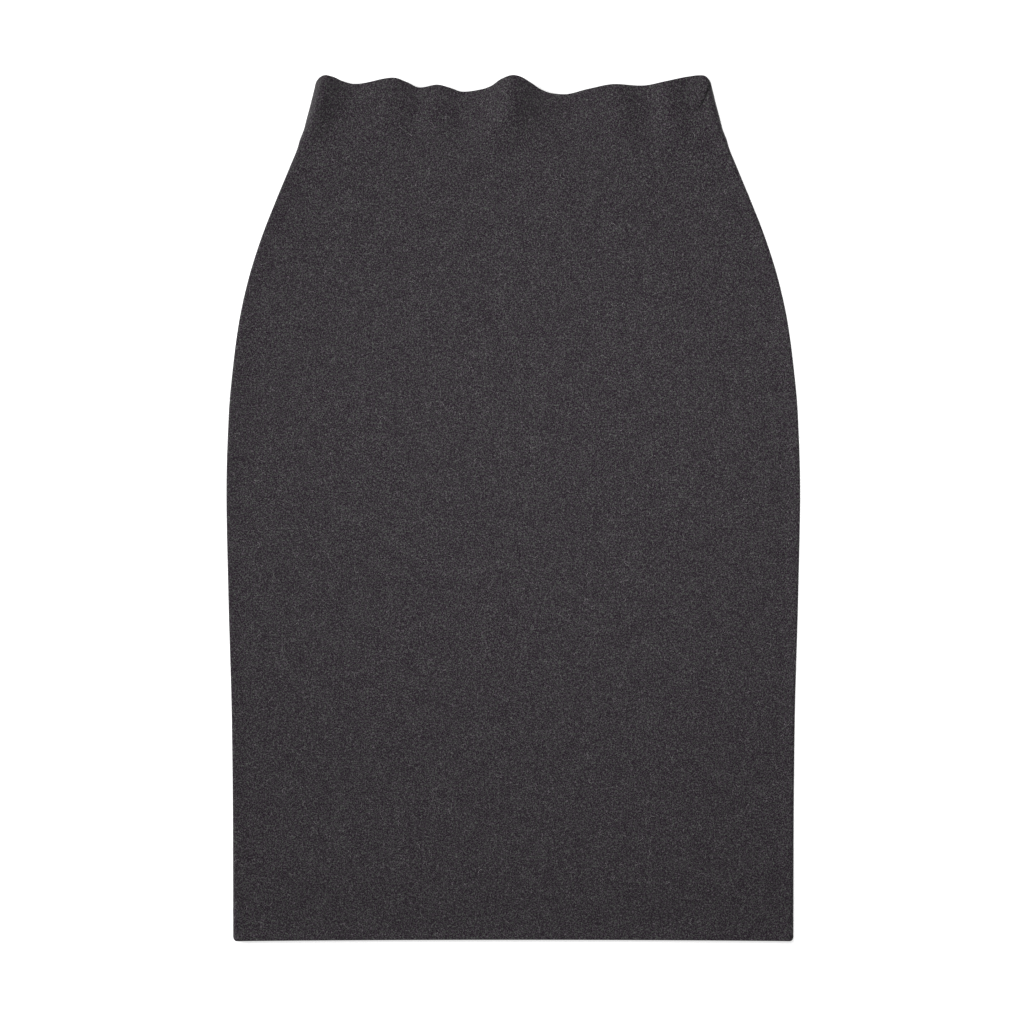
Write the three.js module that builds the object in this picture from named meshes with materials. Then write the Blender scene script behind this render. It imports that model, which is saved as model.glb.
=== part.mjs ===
// A pull-on pencil skirt in heathered knit, laid flat on its back panel.
//
// Millimetres: X runs across the skirt, +Y towards the waist and +Z up from the
// surface that it lies on. The origin is on that surface, under the middle of the skirt.
//
// Each panel is one cut of cloth. Its waist allowance turns in over the top edge and its hem
// allowance turns up over the bottom edge, so that four layers lie on each other along both
// edges and two layers everywhere else. The side seams lie at the laid skirt's outer edges,
// where both panels curve round to meet each other.
import * as THREE from 'three';

// Driving dimensions
const skirtLength = 666;
const clothThickness = 1.2;
const layerGap = 0.3;
const waistTurnIn = 48;
const hemTurnUp = 30;
const seamAllowance = 10;

// Soft form of the laid cloth
const seamFullness = 0.8;     // how much the allowances inside a side seam raise the front
const waistSettle = 46;       // stretch over which the front sinks past the turned-in waist
const hemSettle = 90;         // and past the turned-up hem
const freeEdgeRoom = 2;       // the front stays up for this far past a layer's free edge
const elasticPull = 1.8;      // how far the elastic draws each side in
const pullStart = 40;         // the sides step out between these depths below the waist,
const pullEnd = 52;           // at the lower edge of the elastic
const rippleFullDepth = 26;   // ripples keep their height down to here
const rippleEndDepth = 66;    // and have faded out here
const rippleEdgeZone = 90;    // below this depth the cloth lies straight across
const middleLean = 0.18;      // the middle ripple runs down to the left at this slope
const leanReach = 50;         // and the ripples this far from it stand straight
const waistCornerRadius = 6;
const hemCornerRadius = 2.4;
const hemCornerZone = 20;
const hemBow = 1.1;           // the hem's middle lies this much higher than its sides
const backSetIn = 2;          // the back's waist edge lies this much lower than the front's
const cornerBulge = 0.45;     // a raised corner rounds over wider, by this share of its height

// Half of the laid width at each depth below the waist's highest ripple
const sideRows = [
  { below: 0, half: 152.9 },
  { below: 6, half: 153.9 },
  { below: 20, half: 157.2 },
  { below: 40, half: 162.4 },
  { below: 54, half: 165.4 },
  { below: 70, half: 171.7 },
  { below: 96, half: 182.5 },
  { below: 127, half: 194.5 },
  { below: 158, half: 204.1 },
  { below: 189, half: 210.9 },
  { below: 220, half: 215.2 },
  { below: 262, half: 219.0 },
  { below: 320, half: 220.7 },
  { below: 400, half: 219.2 },
  { below: 500, half: 216.5 },
  { below: 580, half: 215.7 },
  { below: 666, half: 215.5 },
];

// The gathers of the elastic waist: how far the edge drops at each place across it, and how
// high the front stands off the back there
const rippleRows = [
  { across: -152, drop: 0.0, lift: 5.0 },
  { across: -144, drop: 0.1, lift: 8.4 },
  { across: -138, drop: 1.3, lift: 5.6 },
  { across: -131, drop: 4.3, lift: 1.9 },
  { across: -121, drop: 6.6, lift: 0.2 },
  { across: -92, drop: 1.9, lift: 5.2 },
  { across: -81, drop: 5.4, lift: 3.2 },
  { across: -71, drop: 9.4, lift: 1.0 },
  { across: -58, drop: 7.2, lift: 3.4 },
  { across: -48, drop: 9.6, lift: 1.8 },
  { across: -38, drop: 12.6, lift: 0.4 },
  { across: -25, drop: 10.9, lift: 2.2 },
  { across: -17, drop: 8.3, lift: 5.8 },
  { across: -9, drop: 2.9, lift: 10.2 },
  { across: 0, drop: 0.1, lift: 12.0 },
  { across: 5, drop: 1.1, lift: 11.2 },
  { across: 13, drop: 5.5, lift: 6.8 },
  { across: 21, drop: 10.9, lift: 2.6 },
  { across: 29, drop: 13.8, lift: 1.0 },
  { across: 38, drop: 14.5, lift: 0.2 },
  { across: 57, drop: 10.4, lift: 2.6 },
  { across: 78, drop: 6.8, lift: 5.2 },
  { across: 97, drop: 7.9, lift: 1.4 },
  { across: 117, drop: 4.5, lift: 4.9 },
  { across: 134, drop: 1.0, lift: 1.6 },
  { across: 143, drop: 0.0, lift: 2.0 },
  { across: 152, drop: 0.0, lift: 2.4 },
];

// Mesh spacing
const edgeTurnSteps = 3;
const foldSteps = 4;
const waistInnerDepths = [0, 8, 17, 26, 34, 41, waistTurnIn];
const frontWaistDepths = [...waistInnerDepths, 55, 62, 72, 88];
const backWaistDepths = [0, 20, 41, 50, 66, 88];
const bodyDepths = [106, 124, 144, 166, 190, 220, 262, 320, 400, 480];
const hemHeights = [122, 96, 66, 46, 32, 12, 2, 0];
const hemInnerHeights = [hemTurnUp, 14, 3, 0];

// Small steps that give the slope of the cloth at a place
const shareNudge = 0.002;
const angleNudge = 0.05;
const depthNudge = 0.05;

// Sizes that follow
const layerPitch = clothThickness + layerGap;
const halfCloth = clothThickness / 2;
const foldReach = layerPitch / 2 + halfCloth;
const waistHalf = sideRows[0].half - elasticPull;
const waistEdgeY = skirtLength / 2 - foldReach;
const hemEdgeY = -skirtLength / 2 + foldReach;
const outerLength = waistEdgeY - hemEdgeY;

const clothMaterial = new THREE.MeshStandardMaterial({
  color: 0x3c393c,
  roughness: 0.95,
  metalness: 0,
});

function smoothStep(from, to, value) {
  return THREE.MathUtils.smoothstep(value, from, to);
}

// The slope of a smooth curve through the rows at one row, level at each crest and hollow
function rowSlope(rows, index, key, column) {
  const before = rows[index - 1];
  const here = rows[index];
  const after = rows[index + 1];
  if (!before || !after) {
    return 0;
  }
  const runBefore = here[key] - before[key];
  const runAfter = after[key] - here[key];
  const slopeBefore = (here[column] - before[column]) / runBefore;
  const slopeAfter = (after[column] - here[column]) / runAfter;
  if (slopeBefore * slopeAfter <= 0) {
    return 0;
  }
  const weightBefore = runBefore + 2 * runAfter;
  const weightAfter = 2 * runBefore + runAfter;
  return (weightBefore + weightAfter) / (weightAfter / slopeAfter + weightBefore / slopeBefore);
}

// Reads a column of a table at any place along its key, on a smooth curve through the rows
function readRows(rows, key, column, place) {
  const first = rows[0][key];
  const last = rows[rows.length - 1][key];
  const at = THREE.MathUtils.clamp(place, first, last);
  let index = 0;
  while (index < rows.length - 2 && rows[index + 1][key] < at) {
    index += 1;
  }
  const start = rows[index];
  const end = rows[index + 1];
  const run = end[key] - start[key];
  const t = (at - start[key]) / run;
  const startPull = rowSlope(rows, index, key, column) * run;
  const endPull = rowSlope(rows, index + 1, key, column) * run;
  const a = 2 * (start[column] - end[column]) + startPull + endPull;
  const b = 3 * (end[column] - start[column]) - 2 * startPull - endPull;
  return ((a * t + b) * t + startPull) * t + start[column];
}

// Half of the laid width at a depth below the waist's highest ripple
function halfWidth(depth) {
  const drawnIn = elasticPull * (1 - smoothStep(pullStart, pullEnd, depth));
  return readRows(sideRows, 'below', 'half', depth) - drawnIn;
}

// 1 where the turned-in layers lie inside, 0 where the two panels lie straight on each other
function innerLayers(below) {
  const pastWaist = smoothStep(0, waistSettle, below - waistTurnIn - freeEdgeRoom);
  const pastHem = smoothStep(0, hemSettle, outerLength - below - hemTurnUp - freeEdgeRoom);
  return 1 - Math.min(pastWaist, pastHem);
}

// How much of a ripple's height is left at a depth
function rippleShare(below) {
  return 1 - smoothStep(rippleFullDepth, rippleEndDepth, below);
}

// How far a rounded corner of the outline cuts in, at a distance from the outer edge
function cornerCut(radius, fromEdge) {
  const inside = THREE.MathUtils.clamp(1 - fromEdge / radius, 0, 1);
  return radius * (1 - Math.sqrt(1 - inside * inside));
}

// Height of the level at which the two panels meet at the side seams
function seamHeight(below) {
  return clothThickness + layerGap / 2 + seamFullness / 2 + layerPitch * innerLayers(below);
}

// How high the front is raised by its ripples at a place across the waist
function rippleLift(across, below) {
  const lean = middleLean * (1 - smoothStep(0, leanReach, Math.abs(across)));
  return readRows(rippleRows, 'across', 'lift', across + lean * below) * rippleShare(below);
}

const front = {
  name: 'front_panel',
  facing: 1,
  setIn: 0,
  stepAcross: 9,
  waistDepths: frontWaistDepths,
  // Middle of the outer layer of cloth, clear of the side seams
  restHeight(across, below, fromTurn) {
    const fullness = seamFullness * (1 - smoothStep(0, seamAllowance, fromTurn));
    const layers = 3 * halfCloth + layerGap + 2 * layerPitch * innerLayers(below);
    return layers + fullness + rippleLift(across, below);
  },
};

const back = {
  name: 'back_panel',
  facing: -1,
  setIn: backSetIn,
  stepAcross: 30,
  waistDepths: backWaistDepths,
  restHeight() {
    return halfCloth;
  },
};

// A station runs the whole length of a panel at one place across it. Between the side seams
// it is given by its share of the flat width, and round a seam by its angle of turn.
function stationsAcross(panel) {
  const flatHalf = waistHalf - halfCloth - turnRadius(panel, 0, 1);
  const shares = [];
  const places = rippleRows.map((row) => row.across).filter((x) => Math.abs(x) < flatHalf - 3);
  const stops = [-flatHalf, ...places, flatHalf];
  for (let i = 1; i < stops.length; i += 1) {
    const run = stops[i] - stops[i - 1];
    const steps = Math.ceil(run / panel.stepAcross);
    for (let k = i === 1 ? 0 : 1; k <= steps; k += 1) {
      shares.push((stops[i - 1] + (run * k) / steps) / flatHalf);
    }
  }
  const turnStep = Math.PI / 2 / edgeTurnSteps;
  const stations = shares.map((share) => ({ share, turn: 0 }));
  for (let k = 1; k <= edgeTurnSteps; k += 1) {
    stations.unshift({ share: -1, turn: k * turnStep });
    stations.push({ share: 1, turn: k * turnStep });
  }
  if (panel.facing < 0) {
    stations.reverse();
  }
  return stations;
}

// Width over which a panel rounds down, or up, to its side seam
function turnRadius(panel, below, side) {
  const rise = Math.abs(panel.restHeight(side * waistHalf, below, 0) - seamHeight(below));
  const lift = panel.facing > 0 ? rippleLift(side * waistHalf, below) : 0;
  return rise - layerGap / 2 - (1 - cornerBulge) * lift;
}

// A point in the middle of a panel's outer layer
function outerPoint(panel, station, below) {
  const side = Math.sign(station.share) || 1;
  const radius = turnRadius(panel, below, side);
  const outermost = waistHalf - halfCloth;
  const waistAcross = station.share * (outermost - radius)
    + side * radius * Math.sin(station.turn);
  const fromEdge = outermost - Math.abs(waistAcross);
  const edgeShare = Math.abs(waistAcross) / outermost;

  const waistDrop = readRows(rippleRows, 'across', 'drop', waistAcross) + panel.setIn
    + cornerCut(waistCornerRadius, fromEdge);
  const hemRise = hemBow * (1 - edgeShare * edgeShare) + cornerCut(hemCornerRadius, fromEdge);
  const straightness = smoothStep(0, rippleEdgeZone, below);
  const hemNearness = smoothStep(outerLength - hemCornerZone, outerLength, below);
  const y = waistEdgeY - below - waistDrop * (1 - straightness) + hemRise * hemNearness;

  const half = halfWidth(skirtLength / 2 - y) - halfCloth;
  const flatHalf = half - radius;
  const x = station.share * flatHalf + side * radius * Math.sin(station.turn);

  const fromTurn = flatHalf * (1 - Math.abs(station.share));
  const top = panel.restHeight(waistAcross, below, fromTurn);
  const seam = seamHeight(below) + panel.facing * layerGap / 2;
  const z = seam + (top - seam) * Math.cos(station.turn);
  return new THREE.Vector3(x, y, z);
}

// The same point with the directions that are square to the cloth there: outwards through its
// thickness, and along the cloth towards the waist
function outerPlace(panel, station, below) {
  const middle = outerPoint(panel, station, below);
  const side = Math.sign(station.share) || 1;
  const beside = station.turn > 0
    ? { share: station.share, turn: station.turn - angleNudge }
    : { share: station.share - side * shareNudge, turn: 0 };
  const beyond = station.turn > 0
    ? { share: station.share, turn: station.turn + angleNudge }
    : station;
  const across = outerPoint(panel, beyond, below).sub(outerPoint(panel, beside, below));
  across.multiplyScalar(side * panel.facing);
  const along = outerPoint(panel, station, below - depthNudge).sub(middle);
  const normal = across.clone().cross(along).normalize();
  const upwards = normal.clone().cross(across).normalize();
  return { middle, normal, upwards };
}

// The middle of a turned-in layer: one pitch inside the outer layer, square to it
function innerPlace(panel, station, below) {
  const { middle, normal } = outerPlace(panel, station, below);
  return {
    middle: middle.addScaledVector(normal, -layerPitch),
    normal: normal.negate(),
  };
}

// Half a turn from the inner layer to the outer one, round an edge that is folded towards
// the hem (-1) or the waist (+1)
function foldPlaces(panel, station, below, towards) {
  const { middle, normal, upwards } = outerPlace(panel, station, below);
  const centre = middle.addScaledVector(normal, -layerPitch / 2);
  const places = [];
  for (let k = 1; k < foldSteps; k += 1) {
    const angle = (Math.PI * k) / foldSteps;
    const radial = normal.clone().multiplyScalar(-Math.cos(angle));
    radial.addScaledVector(upwards, towards * Math.sin(angle));
    places.push({
      middle: centre.clone().addScaledVector(radial, layerPitch / 2),
      normal: radial,
    });
  }
  return places;
}

// The middle of one station, from the free edge of the turned-up hem, round the hem, up the
// outside, over the waist and down to the free edge of the turned-in waist
function stationPath(panel, station) {
  const outerDepths = [
    ...panel.waistDepths,
    ...bodyDepths,
    ...hemHeights.map((height) => outerLength - height),
  ];
  return [
    ...hemInnerHeights.map((height) => innerPlace(panel, station, outerLength - height)),
    ...foldPlaces(panel, station, outerLength, -1),
    ...outerDepths.reverse().map((below) => outerPlace(panel, station, below)),
    ...foldPlaces(panel, station, 0, 1).reverse(),
    ...waistInnerDepths.map((below) => innerPlace(panel, station, below)),
  ];
}

// A closed wall of cloth round a grid of places in its middle
function clothWall(grid) {
  const columns = grid.length;
  const rows = grid[0].length;
  const positions = [];
  for (const side of [1, -1]) {
    for (const { middle, normal } of grid.flat()) {
      positions.push(...middle.clone().addScaledVector(normal, side * halfCloth));
    }
  }
  const outer = (i, j) => i * rows + j;
  const inner = (i, j) => (columns + i) * rows + j;
  const indices = [];
  const quad = (a, b, c, d) => indices.push(a, b, c, a, c, d);
  // Both layers of a folded stretch are split along the same diagonal, so they lie parallel
  for (let i = 0; i < columns - 1; i += 1) {
    for (let j = 0; j < rows - 1; j += 1) {
      if (grid[i][j + 1].middle.y > grid[i][j].middle.y) {
        quad(outer(i, j), outer(i + 1, j), outer(i + 1, j + 1), outer(i, j + 1));
        quad(inner(i, j), inner(i, j + 1), inner(i + 1, j + 1), inner(i + 1, j));
      } else {
        quad(outer(i + 1, j), outer(i + 1, j + 1), outer(i, j + 1), outer(i, j));
        quad(inner(i, j + 1), inner(i + 1, j + 1), inner(i + 1, j), inner(i, j));
      }
    }
  }
  const top = rows - 1;
  for (let i = 0; i < columns - 1; i += 1) {
    quad(outer(i, 0), inner(i, 0), inner(i + 1, 0), outer(i + 1, 0));
    quad(outer(i + 1, top), inner(i + 1, top), inner(i, top), outer(i, top));
  }
  const end = columns - 1;
  for (let j = 0; j < rows - 1; j += 1) {
    quad(outer(0, j + 1), inner(0, j + 1), inner(0, j), outer(0, j));
    quad(outer(end, j), inner(end, j), inner(end, j + 1), outer(end, j + 1));
  }
  const geometry = new THREE.BufferGeometry();
  geometry.setAttribute('position', new THREE.Float32BufferAttribute(positions, 3));
  geometry.setIndex(indices);
  geometry.computeVertexNormals();
  return geometry;
}

function buildPanel(panel) {
  const grid = stationsAcross(panel).map((station) => stationPath(panel, station));
  const mesh = new THREE.Mesh(clothWall(grid), clothMaterial.clone());
  mesh.name = panel.name;
  return mesh;
}

const skirt = new THREE.Group();
skirt.add(buildPanel(front), buildPanel(back));

export default skirt;
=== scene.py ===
"""A pull-on pencil skirt in charcoal heathered knit, laid flat on a pale floor.

The skirt is two panels of cloth, each turned in over the waist and turned up at the hem. The elastic
inside the turned-in waist gathers it into ripples. Sizes of the cloth are in millimetres, and the
meshes are in metres in the frame of the loaded model: X across the skirt, +Y towards the waist and
+Z up from the floor.
"""

import logging
import math
from dataclasses import dataclass, field
from enum import Enum

import bpy
import numpy as np
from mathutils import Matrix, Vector


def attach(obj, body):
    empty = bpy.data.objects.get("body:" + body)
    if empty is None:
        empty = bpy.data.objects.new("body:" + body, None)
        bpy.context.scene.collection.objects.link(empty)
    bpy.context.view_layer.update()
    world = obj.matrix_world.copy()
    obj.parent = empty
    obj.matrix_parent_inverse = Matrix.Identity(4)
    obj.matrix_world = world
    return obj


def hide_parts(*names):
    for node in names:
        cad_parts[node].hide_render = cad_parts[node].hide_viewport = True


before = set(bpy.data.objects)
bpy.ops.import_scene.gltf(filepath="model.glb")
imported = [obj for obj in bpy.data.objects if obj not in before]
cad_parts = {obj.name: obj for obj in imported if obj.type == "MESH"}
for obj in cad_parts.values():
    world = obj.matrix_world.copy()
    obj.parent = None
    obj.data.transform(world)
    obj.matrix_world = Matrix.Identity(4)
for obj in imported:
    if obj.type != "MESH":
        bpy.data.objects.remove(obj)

Colour = tuple[float, float, float, float]
Socket = bpy.types.NodeSocket
Array = np.ndarray

LOG = logging.getLogger("pencil_skirt")
MM = 0.001
SHARP_FROM = math.radians(55.0)

FRONT_NODE = "front_panel"
BACK_NODE = "back_panel"
BODY = "root"
FOLD_SHADE = "fold_shade"


class Facing(Enum):
    """Which way a panel's right side looks while the skirt lies on its back."""

    UP = 1
    DOWN = -1


class Side(Enum):
    """A side of the laid skirt, seen from above with the waist at the top."""

    LEFT = -1
    RIGHT = 1


def smooth_step(start: float, end: float, value: Array) -> Array:
    """Rise smoothly from 0 to 1.

    Args:
        start: Where the rise begins.
        end: Where it is complete.
        value: The places to read.

    Returns:
        The share of the rise at each place.
    """
    t = np.clip((np.asarray(value, float) - start) / (end - start), 0.0, 1.0)
    return t * t * (3.0 - 2.0 * t)


class SmoothTable:
    """A short table that is read on a smooth curve, level at each crest and hollow."""

    def __init__(self, places: list[float], values: list[float]) -> None:
        """Work out the slope of the curve at each row.

        Args:
            places: The key of each row, rising.
            values: The value of each row.
        """
        self.places = np.array(places, float)
        self.values = np.array(values, float)
        runs = np.diff(self.places)
        slopes = np.diff(self.values) / runs
        before, after = slopes[:-1], slopes[1:]
        weight_before = runs[:-1] + 2.0 * runs[1:]
        weight_after = 2.0 * runs[:-1] + runs[1:]
        agree = before * after > 0.0
        safe_before = np.where(agree, before, 1.0)
        safe_after = np.where(agree, after, 1.0)
        inner = (weight_before + weight_after) / (
            weight_after / safe_after + weight_before / safe_before
        )
        self.slopes = np.concatenate([[0.0], np.where(agree, inner, 0.0), [0.0]])

    def __call__(self, at: Array) -> Array:
        """Read the curve.

        Args:
            at: The places to read, held to the table's ends.

        Returns:
            The values there.
        """
        at = np.clip(np.asarray(at, float), self.places[0], self.places[-1])
        row = np.clip(np.searchsorted(self.places, at, side="left") - 1, 0, len(self.places) - 2)
        run = self.places[row + 1] - self.places[row]
        t = (at - self.places[row]) / run
        start, end = self.values[row], self.values[row + 1]
        start_pull, end_pull = self.slopes[row] * run, self.slopes[row + 1] * run
        a = 2.0 * (start - end) + start_pull + end_pull
        b = 3.0 * (end - start) - 2.0 * start_pull - end_pull
        return ((a * t + b) * t + start_pull) * t + start


@dataclass(frozen=True)
class SideRow:
    """Half of the laid width at a depth below the waist's highest ripple."""

    below: float
    half: float


@dataclass(frozen=True)
class RippleRow:
    """A place across the gathered waist: the edge's drop there and the front's height."""

    across: float
    drop: float
    lift: float


@dataclass(frozen=True)
class Crease:
    """A soft ridge, or a trough where its height is below zero, along a bowed line.

    Args:
        start: One end, in millimetres.
        end: The other end.
        height: Height of the ridge in its middle.
        width: Distance from its line at which about a third of its height is left.
        bow: How far the line bows to its left.
        fade_in: Share of its length over which it rises from its start.
        fade_out: Share of its length over which it sinks to its end.
    """

    start: tuple[float, float]
    end: tuple[float, float]
    height: float
    width: float
    bow: float = 0.0
    fade_in: float = 0.35
    fade_out: float = 0.35

    def height_at(self, x: Array, y: Array) -> Array:
        """Give the crease's height over the cloth at rest.

        Args:
            x: Places across the skirt.
            y: Places along it.

        Returns:
            The height at each place.
        """
        run_x, run_y = self.end[0] - self.start[0], self.end[1] - self.start[1]
        length = math.hypot(run_x, run_y)
        across_x, across_y = x - self.start[0], y - self.start[1]
        t = (across_x * run_x + across_y * run_y) / length**2
        offset = (across_y * run_x - across_x * run_y) / length
        offset = offset - 4.0 * self.bow * t * (1.0 - t)
        ends = smooth_step(0.0, self.fade_in, t) * smooth_step(0.0, self.fade_out, 1.0 - t)
        return self.height * ends * np.exp(-((offset / self.width) ** 2))


@dataclass(frozen=True)
class SkirtForm:
    """The form of the laid skirt, in millimetres, with middle_lean and corner_bulge as shares."""

    length: float = 666.0
    cloth: float = 1.2
    layer_gap: float = 0.3
    waist_turn_in: float = 48.0
    hem_turn_up: float = 30.0
    seam_allowance: float = 10.0
    seam_fullness: float = 0.8
    waist_settle: float = 46.0
    hem_settle: float = 90.0
    free_edge_room: float = 2.0
    elastic_pull: float = 1.8
    pull_start: float = 40.0
    pull_end: float = 52.0
    ripple_full_depth: float = 26.0
    ripple_end_depth: float = 66.0
    ripple_edge_zone: float = 90.0
    middle_lean: float = 0.18
    lean_reach: float = 50.0
    waist_corner_radius: float = 6.0
    hem_corner_radius: float = 2.4
    hem_corner_zone: float = 20.0
    hem_bow: float = 1.1
    back_set_in: float = 2.0
    corner_bulge: float = 0.45
    sides: tuple[SideRow, ...] = (
        SideRow(0.0, 152.9),
        SideRow(6.0, 153.9),
        SideRow(20.0, 157.2),
        SideRow(40.0, 162.4),
        SideRow(54.0, 165.4),
        SideRow(70.0, 171.7),
        SideRow(96.0, 182.5),
        SideRow(127.0, 194.5),
        SideRow(158.0, 204.1),
        SideRow(189.0, 210.9),
        SideRow(220.0, 215.2),
        SideRow(262.0, 219.0),
        SideRow(320.0, 220.7),
        SideRow(400.0, 219.2),
        SideRow(500.0, 216.5),
        SideRow(580.0, 215.7),
        SideRow(666.0, 215.5),
    )
    ripples: tuple[RippleRow, ...] = (
        RippleRow(-152.0, 0.0, 5.0),
        RippleRow(-144.0, 0.1, 8.4),
        RippleRow(-138.0, 1.3, 5.6),
        RippleRow(-131.0, 4.3, 1.9),
        RippleRow(-121.0, 6.6, 0.2),
        RippleRow(-92.0, 1.9, 5.2),
        RippleRow(-81.0, 5.4, 3.2),
        RippleRow(-71.0, 9.4, 1.0),
        RippleRow(-58.0, 7.2, 3.4),
        RippleRow(-48.0, 9.6, 1.8),
        RippleRow(-38.0, 12.6, 0.4),
        RippleRow(-25.0, 10.9, 2.2),
        RippleRow(-17.0, 8.3, 5.8),
        RippleRow(-9.0, 2.9, 10.2),
        RippleRow(0.0, 0.1, 12.0),
        RippleRow(5.0, 1.1, 11.2),
        RippleRow(13.0, 5.5, 6.8),
        RippleRow(21.0, 10.9, 2.6),
        RippleRow(29.0, 13.8, 1.0),
        RippleRow(38.0, 14.5, 0.2),
        RippleRow(57.0, 10.4, 2.6),
        RippleRow(78.0, 6.8, 5.2),
        RippleRow(97.0, 7.9, 1.4),
        RippleRow(117.0, 4.5, 4.9),
        RippleRow(134.0, 1.0, 1.6),
        RippleRow(143.0, 0.0, 2.0),
        RippleRow(152.0, 0.0, 2.4),
    )
    creases: tuple[Crease, ...] = (
        Crease((151.2, 331.0), (137.6, 302.0), -1.6, 0.75, 3.2, 0.14),
        Crease((152.7, 330.5), (139.0, 301.5), 0.45, 1.0, 3.2, 0.2),
        Crease((-96.0, 262.0), (-150.0, 150.0), 0.35, 17.0, -12.0),
        Crease((18.0, 272.0), (-34.0, 118.0), 0.4, 20.0, 10.0),
        Crease((96.0, 268.0), (150.0, 132.0), -0.3, 18.0, 12.0),
        Crease((-182.0, 74.0), (-60.0, -26.0), 0.3, 24.0, -14.0),
        Crease((42.0, 60.0), (176.0, -44.0), -0.32, 22.0, 10.0),
        Crease((-28.0, -62.0), (-16.0, -232.0), 0.28, 26.0, 12.0),
        Crease((-176.0, -150.0), (-92.0, -262.0), -0.3, 22.0, 10.0),
        Crease((84.0, -134.0), (164.0, -246.0), 0.3, 24.0, -12.0),
    )
    fold_depths: tuple[float, float] = (0.45, 1.3)

    @property
    def pitch(self) -> float:
        """Distance between the middles of two layers that lie on each other."""
        return self.cloth + self.layer_gap

    @property
    def half_cloth(self) -> float:
        """Half of the cloth's thickness."""
        return self.cloth / 2.0

    @property
    def fold_reach(self) -> float:
        """How far a folded edge stands out past the fold's centre."""
        return self.pitch / 2.0 + self.half_cloth

    @property
    def waist_half(self) -> float:
        """Half of the laid width at the waist edge."""
        return self.sides[0].half - self.elastic_pull

    @property
    def waist_y(self) -> float:
        """Where the outer layer starts to fold over at the waist's highest ripple."""
        return self.length / 2.0 - self.fold_reach

    @property
    def outer_length(self) -> float:
        """Length of the outer layer between its two folds."""
        return self.length - 2.0 * self.fold_reach

    def fold_shade(self, x: Array, y: Array) -> Array:
        """Give how deep places lie in the sharp folds, where less light reaches, as the painted
        shade that darkens the front's colour there.

        Args:
            x: Places across the skirt.
            y: Places along it.

        Returns:
            0 outside the sharp folds, rising to 1 at their deepest.
        """
        depth = -sum(crease.height_at(x, y) for crease in self.creases)
        return smooth_step(*self.fold_depths, depth)


@dataclass(frozen=True)
class MeshGrid:
    """A panel's mesh: counts for its round edges, and sizes in millimetres for the rest."""

    across_step: float
    turn_steps: int
    fold_steps: int
    waist_step: float
    body_step: float
    hem_step: float
    inner_step: float
    fine_from: float = 1000.0
    fine_step: float = 1.0
    waist_zone: float = 70.0
    hem_zone: float = 90.0


@dataclass
class Places:
    """Points in the middle of a layer of cloth, with the directions square to it."""

    middle: Array
    normal: Array
    upwards: Array


def unit(vectors: Array) -> Array:
    """Scale vectors to a length of one."""
    return vectors / np.linalg.norm(vectors, axis=-1, keepdims=True)


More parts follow.
